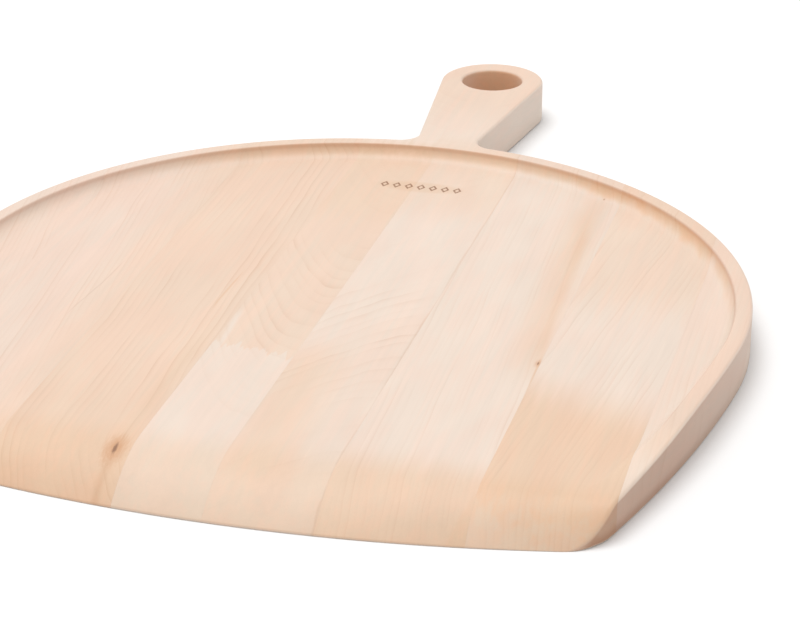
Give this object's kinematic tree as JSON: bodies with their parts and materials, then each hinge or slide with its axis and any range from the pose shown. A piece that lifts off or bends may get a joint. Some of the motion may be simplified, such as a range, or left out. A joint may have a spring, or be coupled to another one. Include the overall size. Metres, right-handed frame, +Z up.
{
  "type": "pizza peel",
  "caption": "Wooden pizza peel: edge-glued round tray with a rim, a thin ramped front edge and a short handle with a hanging hole.",
  "frame": {"origin": "middle of the plan's bounding box, on the surface that the flat underside lies on", "axes": "+Y from the thin front edge towards the end of the handle, +X to the right seen from the front edge with the tray up, +Z up out of the tray"},
  "size_m": [0.336, 0.452, 0.02],
  "materials": {
    "maple_pale": "satin, sanded and oiled",
    "maple_warm": "satin, sanded and oiled",
    "maple_tan": "satin, sanded and oiled"
  },
  "bodies": {
    "root": {"stave_left_edge": "maple_pale", "stave_left_outer": "maple_warm", "stave_left_inner": "maple_warm", "stave_centre_left": "maple_tan", "stave_centre_right": "maple_pale", "stave_right_inner": "maple_pale", "stave_right_outer": "maple_tan", "stave_right_edge": "maple_pale"}
  },
  "joints": []
}
